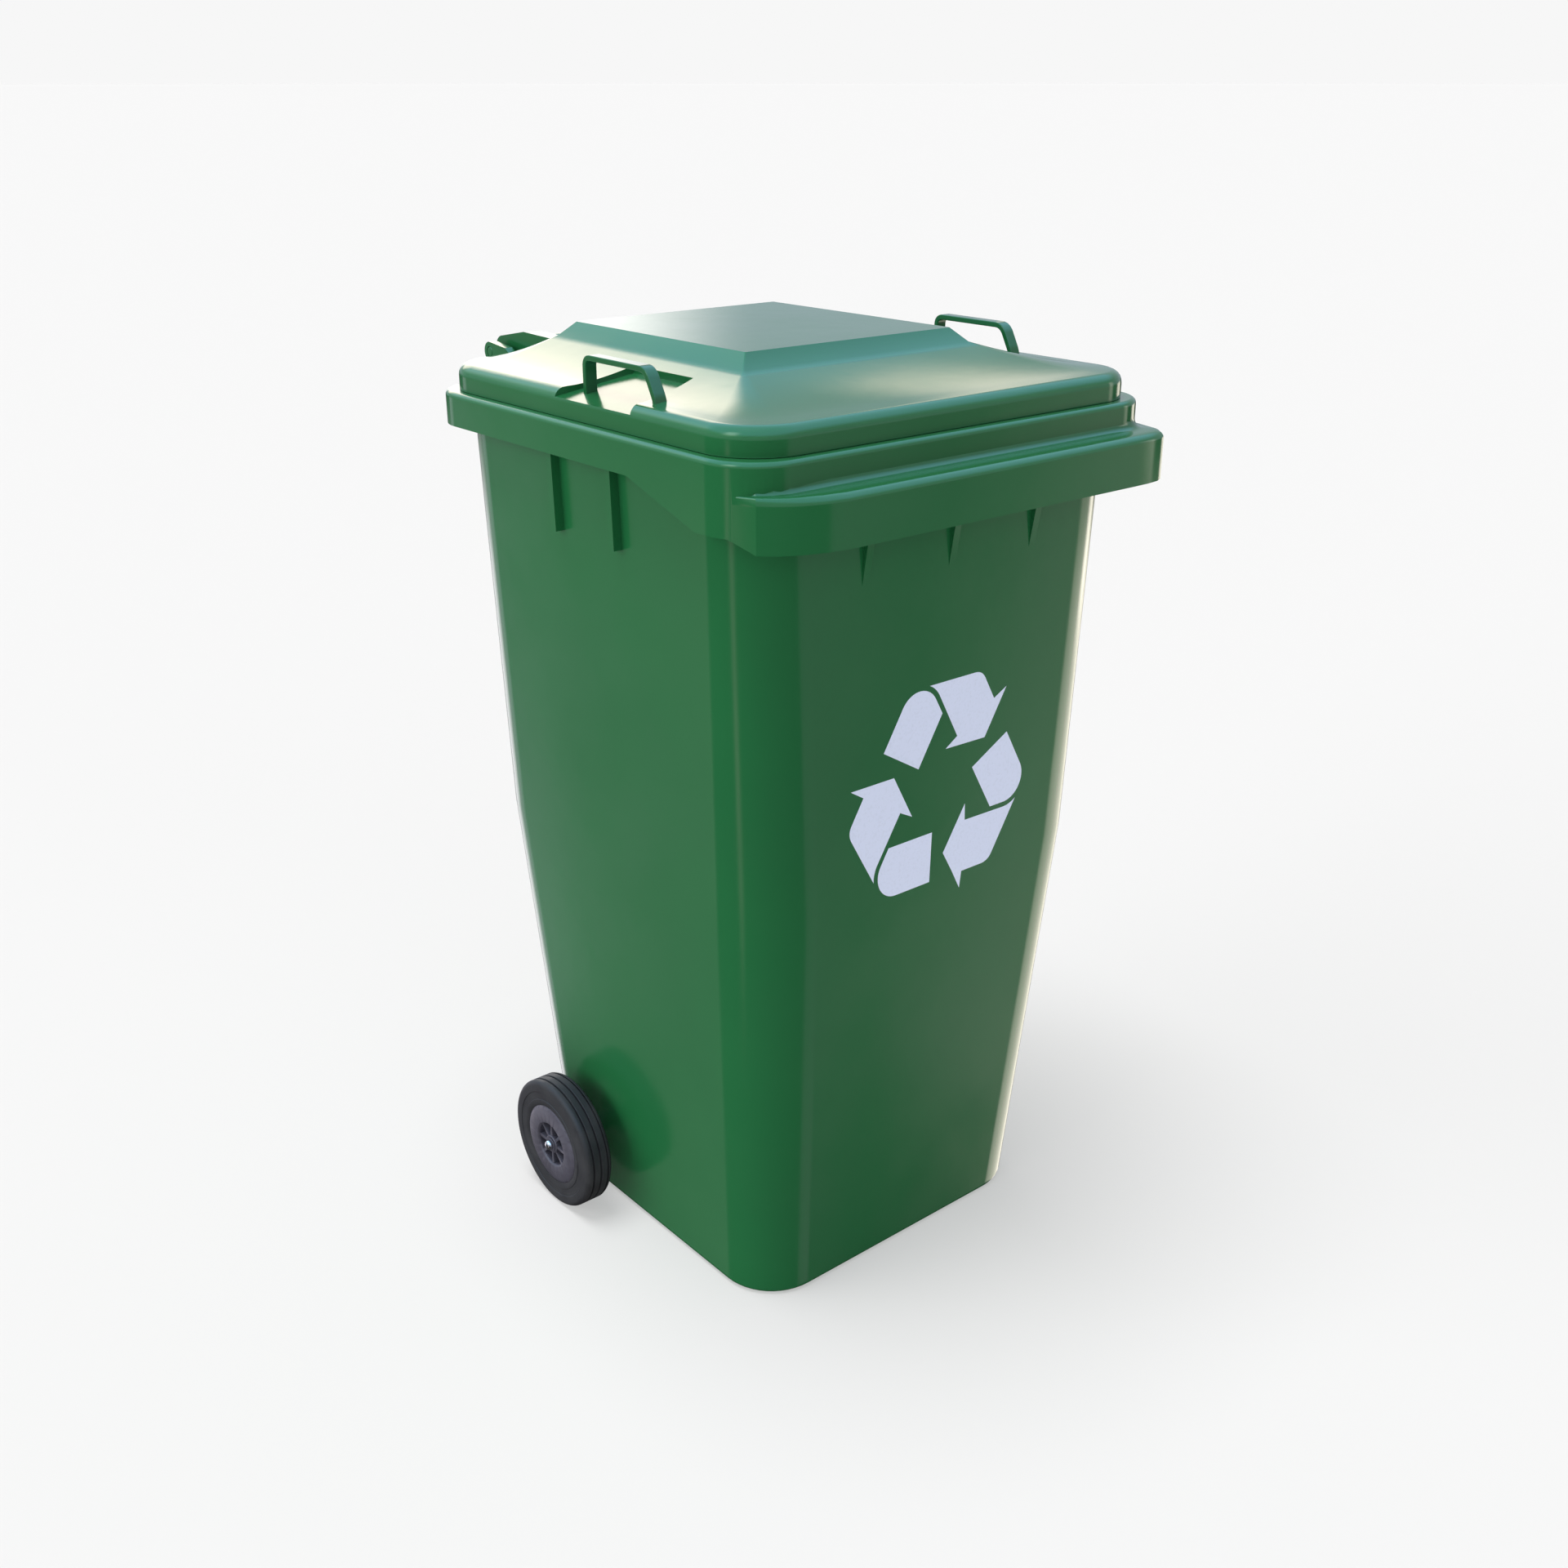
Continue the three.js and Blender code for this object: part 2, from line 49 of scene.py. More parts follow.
FLOOR_SHADE = (0.36, 0.36, 0.36, 1)
FLOOR_GLOW = 0.415
BACKGROUND_SHADE = (0.93, 0.93, 0.93, 1)
LAMPS = [  # azimuth from +Y towards +X, elevation, apparent size in degrees, strength
    ("lamp_overhead", -60, 82, 34, 2.7),
    ("lamp_dome", 0, 90, 178, 1.2),
    ("lamp_left", -70, 10, 60, 2.65),
    ("lamp_front", -165, 12, 60, 0.65),
]
TENT_LOW = (0.05, 0.05, 0.05)
TENT_SIDE = (0.50, 0.56, 0.68)
TENT_TOP = (0.38, 1.0, 1.70)
PANELS = [  # azimuth, elevation, half width, half height and softness in degrees, and the light added
    (18, 22, 17, 9, 3, (3.6, 3.05, 2.55)),
    (27, 6, 9, 10, 3, (1.8, 1.65, 1.55)),
    (48.5, 19, 2, 7, 1.5, (1.6, 1.3, 1.0)),
    (-18, 28, 15, 9, 8, (0.9, 1.2, 1.3)),
    (-90, 38, 12, 12, 8, (3.2, 3.8, 3.2)),
    (92, -29, 31, 15, 3, (2.35, 2.15, 1.85)),
    (119, 2, 5, 14, 4, (2.2, 2.1, 1.8)),
    (129, -20, 3, 18, 2.5, (0.75, 0.62, 0.66)),
    (85, -10, 8, 8, 2, (3.2, 2.9, 2.5)),
    (149, -24, 13, 26, 2, (0.33, 0.28, 0.33)),
    (24, -20, 6, 14, 3, (1.0, 0.95, 1.0)),
    (2, -25, 12, 12, 4, (2.2, 2.0, 2.2)),
    (-20, -20, 7.5, 14, 2.5, (1.0, 0.95, 1.1)),
    (-34, -24, 5, 22, 2, (0.22, 0.22, 0.20)),
    (-38, -21, 1.5, 9, 2, (0.35, 0.33, 0.28)),
    (-90, -22, 3.5, 13, 3, (1.0, 0.75, 0.75)),
]

camera_data = bpy.data.cameras.new("camera")
camera_data.lens = LENS
camera_data.sensor_width = 36
camera = bpy.data.objects.new("camera", camera_data)
camera.location = CAMERA_PLACE
camera.rotation_euler = (math.pi / 2 + CAMERA_TILT, 0, -CAMERA_TURN)
bpy.context.scene.collection.objects.link(camera)
bpy.context.scene.camera = camera
bpy.context.scene.view_settings.view_transform = "Standard"

floor_mesh = bpy.data.meshes.new("floor")
floor_mesh.from_pydata(
    [(-FLOOR_HALF, -FLOOR_HALF, 0), (FLOOR_HALF, -FLOOR_HALF, 0), (FLOOR_HALF, FLOOR_HALF, 0),
     (-FLOOR_HALF, FLOOR_HALF, 0)], [], [(0, 1, 2, 3)])
floor = bpy.data.objects.new("floor", floor_mesh)
bpy.context.scene.collection.objects.link(floor)
floor_paint = bpy.data.materials.new("floor_paint")
floor_paint.use_nodes = True
floor_shader = floor_paint.node_tree.nodes["Principled BSDF"]
floor_shader.inputs["Base Color"].default_value = FLOOR_SHADE
floor_shader.inputs["Roughness"].default_value = 1.0
floor_shader.inputs["Specular IOR Level"].default_value = 0.0
floor_shader.inputs["Emission Color"].default_value = (1, 1, 1, 1)
floor_shader.inputs["Emission Strength"].default_value = FLOOR_GLOW
floor_mesh.materials.append(floor_paint)
floor.visible_glossy = False

for name, azimuth, elevation, size, strength in LAMPS:
    lamp_data = bpy.data.lights.new(name, "SUN")
    lamp_data.energy = strength
    lamp_data.angle = math.radians(size)
    lamp = bpy.data.objects.new(name, lamp_data)
    turn, lift = math.radians(azimuth), math.radians(elevation)
    towards = Vector((math.sin(turn) * math.cos(lift), math.cos(turn) * math.cos(lift), math.sin(lift)))
    lamp.rotation_euler = towards.to_track_quat("Z", "Y").to_euler()
    lamp.visible_glossy = False
    bpy.context.scene.collection.objects.link(lamp)

world = bpy.data.worlds.new("tent")
world.use_nodes = True
world.cycles_visibility.diffuse = False
bpy.context.scene.world = world
sky = world.node_tree


def sky_math(operation, first, second=0.0):
    """One step of arithmetic on directions in the tent."""
    node = sky.nodes.new("ShaderNodeMath")
    node.operation = operation
    for socket, value in zip(node.inputs, (first, second)):
        if isinstance(value, (int, float)):
            socket.default_value = value
        else:
            sky.links.new(value, socket)
    return node.outputs[0]


def sky_step(value, start, end):
    """Rises smoothly from 0 at start to 1 at end."""
    node = sky.nodes.new("ShaderNodeMapRange")
    node.interpolation_type = "SMOOTHSTEP"
    sky.links.new(value, node.inputs["Value"])
    node.inputs["From Min"].default_value = start
    node.inputs["From Max"].default_value = end
    return node.outputs["Result"]


def sky_add(light, amount, colour):
    """Adds a colour to the tent's light, scaled by an amount."""
    node = sky.nodes.new("ShaderNodeVectorMath")
    node.operation = "MULTIPLY_ADD"
    sky.links.new(amount, node.inputs[0])
    node.inputs[1].default_value = colour
    if light is None:
        node.inputs[2].default_value = TENT_LOW
    else:
        sky.links.new(light, node.inputs[2])
    return node.outputs[0]


sky_place = sky.nodes.new("ShaderNodeTexCoord")
sky_axes = sky.nodes.new("ShaderNodeSeparateXYZ")
sky.links.new(sky_place.outputs["Generated"], sky_axes.inputs[0])
sky_lift = sky_math("DEGREES", sky_math("ARCSINE", sky_axes.outputs["Z"]))
sky_turn = sky_math("DEGREES", sky_math("ARCTAN2", sky_axes.outputs["X"], sky_axes.outputs["Y"]))
tent_light = sky_add(None, sky_step(sky_lift, -7, 2), TENT_SIDE)
tent_light = sky_add(tent_light, sky_step(sky_lift, 22, 42), TENT_TOP)
for azimuth, elevation, half_wide, half_tall, soft, colour in PANELS:
    aside = sky_math("PINGPONG", sky_math("SUBTRACT", sky_turn, azimuth), 180.0)
    above = sky_math("ABSOLUTE", sky_math("SUBTRACT", sky_lift, elevation))
    within = sky_math("MULTIPLY", sky_step(aside, half_wide + soft, half_wide - soft),
                      sky_step(above, half_tall + soft, half_tall - soft))
    tent_light = sky_add(tent_light, within, colour)
tent = sky.nodes["Background"]
sky.links.new(tent_light, tent.inputs["Color"])
backdrop = sky.nodes.new("ShaderNodeBackground")
backdrop.inputs["Color"].default_value = BACKGROUND_SHADE
seen = sky.nodes.new("ShaderNodeLightPath")
either = sky.nodes.new("ShaderNodeMixShader")
sky.links.new(seen.outputs["Is Camera Ray"], either.inputs["Fac"])
sky.links.new(tent.outputs["Background"], either.inputs[1])
sky.links.new(backdrop.outputs["Background"], either.inputs[2])
sky.links.new(either.outputs["Shader"], sky.nodes["World Output"].inputs["Surface"])


# ---------------------------------------------------------------- tub
# The tub is one injection moulding in green polyethylene: walls that taper to the foot, a flat rim with a
# skirt, a hollow lifting lip, ribs under both, hinge lugs with a grip bar at the back, and two axle cheeks.
# Its mould is polished outside, so the walls are smooth and half glossy.
WALL = 0.0042
FLOOR_THICK = 0.0055
FAR = 0.4
CORNER_STEPS = 12
TUB_LEVELS = [  # height, half width, front, back, corner radius
    (0.0, 0.2187, -0.2294, 0.219, 0.0695), (0.51, 0.2514, -0.27, 0.263, 0.078),
    (0.868, 0.264, -0.2746, 0.2635, 0.072), (1.011, 0.2685, -0.2765, 0.264, 0.07),
]
BASE_ROUND = 0.009
RIM_TOP = 1.011
RIM_OUTLINE = (0.29, -0.296, 0.28, 0.06)
RIM_ROUND = 0.006
SKIN = 0.0042
SKIRT_FOOT = [(0.3, 0.974), (-0.111, 0.974), (-0.22, 0.939), (-0.262, 0.939), (-0.29, 0.927), (-0.36, 0.927)]
LIP_START = 0.9
# The plan of the lip from each end to the middle of the front, and its root, the same line on the rim's face.
# The left end is swept back to a flat facet, and the right end is squarer.
LIP_LEFT_PLAN = [(0.285, -0.258), (0.272, -0.29), (0.258, -0.304), (0.238, -0.315), (0.214, -0.323),
                 (0.188, -0.327)]
LIP_LEFT_ROOT = [(0.283, -0.257), (0.2662, -0.2826), (0.2525, -0.2906), (0.2359, -0.2947), (0.214, -0.295),
                 (0.188, -0.295)]
LIP_RIGHT_PLAN = [(0.288, -0.262), (0.28, -0.311), (0.2735, -0.3195), (0.262, -0.3245), (0.244, -0.3266),
                  (0.222, -0.327)]
LIP_RIGHT_ROOT = [(0.2843, -0.2603), (0.263, -0.2855), (0.2575, -0.2887), (0.2502, -0.292), (0.2391, -0.2948),
                  (0.222, -0.295)]
LIP_SECTION = [  # share of the way from the plan to the root on the rim, and the height there
    (0, LIP_START), (0, 0.972), (0.012, 0.9738), (0.04, 0.9755), (0.08, 0.9772), (0.13, 0.9785),
    (0.19, 0.9794), (0.26, 0.98), (0.42, 0.9803), (0.58, 0.9804), (0.72, 0.9806), (0.79, 0.9811),
    (0.85, 0.982), (0.9, 0.9833), (0.94, 0.9851), (0.965, 0.9872), (0.985, 0.9901), (1, 0.995),
]
SIDE_RIBS = {"places": (0.05, -0.058), "thick": 0.01, "proud": 0.01, "foot": 0.886}
GUSSETS = {"places": (-0.1206, 0.0, 0.1206), "thick": 0.009, "tip": 0.868, "reach": 0.01, "root": 0.042,
           "root_foot": 0.955, "top": 0.977}
HINGE = (0.322, 1.034)
LUG = {"radius": 0.0115, "front": 0.287, "top": 1.042, "outer": (0.17, 0.18), "inner": (0.118, 0.128)}
GRIP_RADIUS = 0.013
PIN_HOLE = 0.00635
AXLE_LINE = (0.109, 0.084)
AXLE_HOLE = 0.00735
CHEEK = {"from": 0.204, "to": 0.215, "radius": 0.022}
RECESS = {"front": 0.092, "roof_front": 0.106, "roof_back": 0.112, "cut": 0.012}
PIN_TIP = 0.099


def piece_from(name, mesh):
    thing = bpy.data.objects.new(name, mesh)
    bpy.context.scene.collection.objects.link(thing)
    return thing


def ring(half, front, back, corner, height, steps=CORNER_STEPS):
    """A rounded rectangle seen from above, as a closed ring of points."""
    middles = [(half - corner, back - corner), (corner - half, back - corner),
               (corner - half, front + corner), (half - corner, front + corner)]
    points = []
    for quarter, (x, y) in enumerate(middles):
        for step in range(steps + 1):
            angle = (quarter + step / steps) * math.pi / 2
            points.append((x + corner * math.cos(angle), y + corner * math.sin(angle), height))
    return points


def inset(outline, distance):
    half, front, back, corner = outline
    return (half - distance, front + distance, back - distance, max(corner - distance, 0.0015))


def loft(name, rings):
    """A closed skin through rings that have the same number of points, from the lowest to the highest."""
    count = len(rings[0])
    faces = [tuple(reversed(range(count)))]
    for level in range(len(rings) - 1):
        start = level * count
        for i in range(count):
            after = (i + 1) % count
            faces.append((start + i, start + after, start + count + after, start + count + i))
    faces.append(tuple(range((len(rings) - 1) * count, len(rings) * count)))
    mesh = bpy.data.meshes.new(name)
    mesh.from_pydata([point for level in rings for point in level], [], faces)
    return piece_from(name, mesh)


def slab(name, axis, outline, start, end):
    """A flat outline pushed along one axis: [y, z] along x, [x, z] along y, [x, y] along z."""
    along_axis = {"x": lambda u, v, w: (w, u, v), "y": lambda u, v, w: (u, w, v),
                  "z": lambda u, v, w: (u, v, w)}
    place = along_axis[axis]
    count = len(outline)
    points = [place(u, v, w) for w in (start, end) for u, v in outline]
    faces = [tuple(range(count)), tuple(range(count, 2 * count))]
    faces += [(i, (i + 1) % count, count + (i + 1) % count, count + i) for i in range(count)]
    mesh = bpy.data.meshes.new(name)
    mesh.from_pydata(points, [], faces)
    shape = bmesh.new()
    shape.from_mesh(mesh)
    bmesh.ops.recalc_face_normals(shape, faces=shape.faces)
    shape.to_mesh(mesh)
    shape.free()
    return piece_from(name, mesh)


def arc(middle, radius, start, end, steps):
    """Points along a round stretch, from one angle to another, in degrees."""
    angles = (math.radians(start + (end - start) * step / steps) for step in range(steps + 1))
    return [(middle[0] + radius * math.cos(a), middle[1] + radius * math.sin(a)) for a in angles]


def rod(name, radius, start, end, middle, steps=48):
    return slab(name, "x", arc(middle, radius, 0, 360 * (steps - 1) / steps, steps - 1), start, end)


def mirrored(thing):
    """A copy on the other side of the bin."""
    mesh = thing.data.copy()
    mesh.transform(Matrix.Scale(-1, 4, (1, 0, 0)))
    mesh.flip_normals()
    return piece_from(thing.name + "_other", mesh)


def settle(thing):
    """Turns a piece's modifiers into plain mesh."""
    bpy.context.view_layer.update()
    made = bpy.data.meshes.new_from_object(thing.evaluated_get(bpy.context.evaluated_depsgraph_get()))
    thing.modifiers.clear()
    thing.data = made
    return thing


def combine(thing, operation, others):
    """Joins other solids to a piece, or cuts them out of it, and deletes them."""
    for other in others:
        step = thing.modifiers.new(operation, "BOOLEAN")
        step.operation = operation
        step.solver = "EXACT"
        step.object = other
    settle(thing)
    for other in others:
        bpy.data.objects.remove(other)
    return thing


def soften(thing, width, sharp=32, segments=2):
    """Rounds a moulding's sharp edges and shades it smooth."""
    tidy = bmesh.new()
    tidy.from_mesh(thing.data)
    bmesh.ops.remove_doubles(tidy, verts=tidy.verts, dist=0.00002)
    bmesh.ops.dissolve_degenerate(tidy, edges=tidy.edges, dist=0.00002)
    tidy.to_mesh(thing.data)
    tidy.free()
    edge = thing.modifiers.new("edge", "BEVEL")
    edge.width = width
    edge.segments = segments
    edge.limit_method = "ANGLE"
    edge.angle_limit = math.radians(sharp)
    edge.harden_normals = False
    settle(thing)
    thing.data.shade_smooth()
    thing.data.set_sharp_from_angle(angle=math.radians(48))
    level = thing.modifiers.new("level", "WEIGHTED_NORMAL")
    level.keep_sharp = True
    settle(thing)
    return thing


def tub_outline(height):
    above = next(i for i in range(1, len(TUB_LEVELS)) if TUB_LEVELS[i][0] >= height - 1e-6)
    lower, upper = TUB_LEVELS[above - 1], TUB_LEVELS[above]
    share = (height - lower[0]) / (upper[0] - lower[0])
    return tuple(a + (b - a) * share for a, b in zip(lower[1:], upper[1:]))


def recess_cut(margin):
    """Everything below and behind the axle recess."""
    front = RECESS["front"] - margin
    slope = (RECESS["roof_back"] - RECESS["roof_front"]) / (TUB_LEVELS[0][3] - RECESS["front"])

    def roof(y):
        return RECESS["roof_front"] + margin + slope * (y - RECESS["front"])

    cut = RECESS["cut"]
    return slab("recess", "x", [
        (front, -0.01), (FAR, -0.01), (FAR, roof(FAR)), (front + cut, roof(front + cut)),
        (front + cut * 0.3, roof(front) - cut * 0.28), (front, roof(front) - cut)], -FAR, FAR)


def rounded_levels(outline, foot, top, radius, steps=5):
    """Rings for a block whose top edge is rounded."""
    rings = [ring(*outline, foot), ring(*outline, top - radius)]
    for step in range(1, steps + 1):
        turn = math.pi / 2 * step / steps
        pulled, lowered = radius * (1 - math.cos(turn)), radius * (1 - math.sin(turn))
        rings.append(ring(*inset(outline, pulled), top - lowered))
    return rings


def lip_side(side, plan, root, share, height, shrink):
    """One side of the lip at one height, from its end to the middle of the front."""
    return [(side * (x + (root_x - x) * share - shrink), y + (root_y - y) * share + shrink, height - shrink)
            for (x, y), (root_x, root_y) in zip(plan, root)]


def lip_block(name, shrink):
    """The lip as a solid: an upright face, a rounding, a shelf, and a hollow rounding up into the rim."""
    rings = []
    for share, height in LIP_SECTION:
        left = lip_side(-1, LIP_LEFT_PLAN, LIP_LEFT_ROOT, share, height, shrink)
        right = lip_side(1, LIP_RIGHT_PLAN, LIP_RIGHT_ROOT, share, height, shrink)
        rings.append(left + right[::-1])
    return loft(name, rings)


def lug(start, end):
    """A plate from the back of the rim to a round eye on the hinge line."""
    root = RIM_OUTLINE[2] - 0.012
    foot = SKIRT_FOOT[0][1]
    back = RIM_OUTLINE[2]
    eye = arc(HINGE, LUG["radius"], -48, 96, 16)
    return slab("lug", "x", [
        (root, foot), (back + 0.004, foot), *eye, (LUG["front"], LUG["top"]),
        (back - 0.006, LUG["top"] - 0.008), (back - 0.006, 1.004), (root, 1.004)], start, end)


def cheek(start, end):
    """A plate under the tub that carries the axle."""
    eye = arc(AXLE_LINE, CHEEK["radius"], -90, 60, 14)
    roof = RECESS["roof_front"] + FLOOR_THICK / 2 + 0.008
    root = RECESS["front"] - FLOOR_THICK / 2
    return slab("cheek", "x", [(root, AXLE_LINE[1] - CHEEK["radius"]), *eye, (AXLE_LINE[0] + 0.034, roof),
                               (root, roof)], start, end)


def tub_walls():
    rings = []
    for step in range(0, 6):
        turn = math.pi / 2 * step / 5
        height = BASE_ROUND * (1 - math.cos(turn))
        rings.append(ring(*inset(tub_outline(height), BASE_ROUND * (1 - math.sin(turn))), height))
    rings += [ring(*row[1:], row[0]) for row in TUB_LEVELS[1:]]
    return combine(loft("tub", rings), "DIFFERENCE", [recess_cut(0)])


def tub_hollow():
    rings = [ring(*inset(tub_outline(FLOOR_THICK), WALL + BASE_ROUND), FLOOR_THICK),
             ring(*inset(tub_outline(FLOOR_THICK), WALL + BASE_ROUND * 0.3), FLOOR_THICK + BASE_ROUND * 0.3),
             ring(*inset(tub_outline(FLOOR_THICK + BASE_ROUND), WALL), FLOOR_THICK + BASE_ROUND)]
    rings += [ring(*inset(row[1:], WALL), row[0]) for row in TUB_LEVELS[1:-1]]
    rings.append(ring(*inset(TUB_LEVELS[-1][1:], WALL), RIM_TOP + 0.01))
    return combine(loft("hollow", rings), "DIFFERENCE", [recess_cut(FLOOR_THICK)])


def make_tub():
    tub = tub_walls()
    flange = loft("flange", rounded_levels(RIM_OUTLINE, LIP_START, RIM_TOP, RIM_ROUND))
    combine(flange, "UNION", [lip_block("lip", 0)])
    under = slab("under", "x", [(FAR, 0), *SKIRT_FOOT, (-FAR, 0)], -FAR, FAR)
    rim_room = loft("rim_room", rounded_levels(
        inset(RIM_OUTLINE, SKIN), LIP_START - SKIN, RIM_TOP - SKIN, RIM_ROUND))
    combine(flange, "DIFFERENCE", [rim_room, lip_block("lip_room", SKIN), under])
    rib_top = RIM_TOP - SKIN / 2
    side, face = TUB_LEVELS[2][1], TUB_LEVELS[2][2]
    proud = SIDE_RIBS["proud"]
    extras = [slab("rib", "y", [(side - 0.008, SIDE_RIBS["foot"]), (side + proud + 0.001, SIDE_RIBS["foot"]),
                                (side + proud + 0.004, rib_top), (side - 0.008, rib_top)],
                   y - SIDE_RIBS["thick"] / 2, y + SIDE_RIBS["thick"] / 2) for y in SIDE_RIBS["places"]]
    extras += [lug(*LUG["outer"]), lug(*LUG["inner"]), cheek(CHEEK["from"], CHEEK["to"])]
    extras += [mirrored(part) for part in extras]
    out = face - GUSSETS["root"]
    extras += [slab("gusset", "x", [(face + 0.008, GUSSETS["tip"]), (face, GUSSETS["tip"]),
                                    (face - GUSSETS["reach"], SKIRT_FOOT[4][1]), (out, GUSSETS["root_foot"]),
                                    (out, GUSSETS["top"]), (face + 0.008, GUSSETS["top"])],
                    x - GUSSETS["thick"] / 2, x + GUSSETS["thick"] / 2) for x in GUSSETS["places"]]
    extras.append(rod("grip", GRIP_RADIUS, -LUG["inner"][0] - 0.001, LUG["inner"][0] + 0.001, HINGE))
    combine(tub, "UNION", [flange, *extras])
    holes = [tub_hollow()]
    for radius, start, end, middle in (
            (PIN_HOLE, PIN_TIP, LUG["outer"][1] + 0.005, HINGE),
            (AXLE_HOLE, CHEEK["from"] - 0.005, CHEEK["to"] + 0.005, AXLE_LINE)):
        hole = rod("hole", radius, start, end, middle, 32)
        holes += [hole, mirrored(hole)]
    combine(tub, "DIFFERENCE", holes)
    tub.name = "tub_moulding"
    return soften(tub, 0.0012, 21)


def mix_colour(tree, factor, first, second):
    mix = tree.nodes.new("ShaderNodeMix")
    mix.data_type = "RGBA"
    tree.links.new(factor, mix.inputs[0])
    for socket, value in ((mix.inputs[6], first), (mix.inputs[7], second)):
        if hasattr(value, "links"):
            tree.links.new(value, socket)
        else:
            socket.default_value = (*value, 1)
    return mix.outputs[2]


def noise(tree, scale, detail=2.0, stretch=(1, 1, 1)):
    """A noise value in the piece's own metres."""
    place = tree.nodes.new("ShaderNodeTexCoord")
    turn = tree.nodes.new("ShaderNodeMapping")
    turn.inputs["Scale"].default_value = stretch
    grain = tree.nodes.new("ShaderNodeTexNoise")
    grain.inputs["Scale"].default_value = scale
    grain.inputs["Detail"].default_value = detail
    tree.links.new(place.outputs["Object"], turn.inputs["Vector"])
    tree.links.new(turn.outputs["Vector"], grain.inputs["Vector"])
    return grain.outputs["Fac"]


def spread(tree, value, low_in, high_in, low_out, high_out):
    span = tree.nodes.new("ShaderNodeMapRange")
    for name, number in (("From Min", low_in), ("From Max", high_in),
                         ("To Min", low_out), ("To Max", high_out)):
        span.inputs[name].default_value = number
    tree.links.new(value, span.inputs["Value"])
    return span.outputs["Result"]


def bump(tree, value, strength, depth, under=None):
    relief = tree.nodes.new("ShaderNodeBump")
    relief.inputs["Strength"].default_value = strength
    relief.inputs["Distance"].default_value = depth
    tree.links.new(value, relief.inputs["Height"])
    if under is not None:
        tree.links.new(under, relief.inputs["Normal"])
    return relief.outputs["Normal"]


def finish(name):
    """A new material, its node tree and its shader."""
    material = bpy.data.materials.new(name)
    material.use_nodes = True
    return material, material.node_tree, material.node_tree.nodes["Principled BSDF"]


def moulded_green(name, shade, deep, gloss):
    """Green polyethylene: drifts of pigment, a faint orange peel, fine pebble, and rub marks that dull it."""
    material, tree, shader = finish(name)
    drift = spread(tree, noise(tree, 3.0, 3.0), 0.35, 0.65, 0, 1)
    tree.links.new(mix_colour(tree, drift, shade, deep), shader.inputs["Base Color"])
    rubbed = noise(tree, 9, 5.0)
    tree.links.new(spread(tree, rubbed, 0.35, 0.7, gloss - 0.02, gloss + 0.03), shader.inputs["Roughness"])
    shader.inputs["Specular IOR Level"].default_value = 0.5
    peel = bump(tree, noise(tree, 45, 1.0), 0.06, 0.001)
    tree.links.new(bump(tree, noise(tree, 1400, 2.0), 0.05, 0.0001, peel), shader.inputs["Normal"])
    return material


green = moulded_green("moulded_green", (0.0125, 0.119, 0.038), (0.0115, 0.111, 0.036), 0.16)
tub = make_tub()
tub.data.materials.append(green)
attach(tub, "bin")
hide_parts("bin_body")


# ---------------------------------------------------------------- lid
# The lid is a thin green moulding of the same plastic: a rounded skirt, a top that sweeps up to a flat raised
# middle, a hand recess at each side, and two hinge arms whose eyes sit between the lugs of the tub.
LID_OUTLINE = (0.2785, -0.2844, 0.269, 0.062)
LID_FOOT = 1.0115
LID_ROUND = 0.013
LID_EDGE = 1.04
LID_WALL = 0.0035
LID_SWEEP = 1.6
PLATEAU_OUTLINE = (0.1593, -0.132, 0.204, 0.0015)
PLATEAU_FOOT = 1.064
PLATEAU_TOP = 1.079
PLATEAU_CHAMFER = 0.0153
POCKET_INNER = (0.188, 0.016, -0.088, 1.047)  # half width, back, front, floor height
POCKET_OUTER = (0.276, 0.029, -0.104, 1.031)
POCKET_TILT = 0.18
ARM = {"radius": 0.017, "from": 0.14, "to": 0.161, "knee": (0.275, 1.06), "root": (0.214, 1.0585)}
HANDLE = {"outer": 0.257, "wide": 0.014, "thick": 0.006, "top": 1.074, "rear": 0.005, "front": -0.1,
          "front_foot": -0.117, "round": 0.01, "foot": 1.024}
SLOT_EASE = 0.0003


def between(first, second, share):
    return tuple(a + (b - a) * share for a, b in zip(first, second))


def lid_slope(share):
    """The lid's top, outline and height, from its rounded edge, 0, to the foot of the raised middle, 1."""
    outline = between(inset(LID_OUTLINE, LID_ROUND), PLATEAU_OUTLINE, share)
    return outline, LID_EDGE + (PLATEAU_FOOT - LID_EDGE) * share ** LID_SWEEP


def lid_block(shrink):
    """The lid as a solid, from its foot to its flat middle."""
    rings = [ring(*inset(LID_OUTLINE, shrink), LID_FOOT - shrink),
             ring(*inset(LID_OUTLINE, shrink), LID_EDGE - LID_ROUND)]
    for angle in (15, 30, 45, 60, 75):
        turn = math.radians(angle)
        pulled = LID_ROUND * (1 - math.cos(turn))
        rings.append(ring(*inset(LID_OUTLINE, shrink + pulled),
                          LID_EDGE - LID_ROUND * (1 - math.sin(turn)) - shrink * turn / 2))
    for step in range(11):
        outline, height = lid_slope(step / 10)
        rings.append(ring(*inset(outline, shrink), height - shrink))
    rings.append(ring(*inset(PLATEAU_OUTLINE, shrink + PLATEAU_CHAMFER), PLATEAU_TOP - shrink))
    return loft("lid_block", rings)


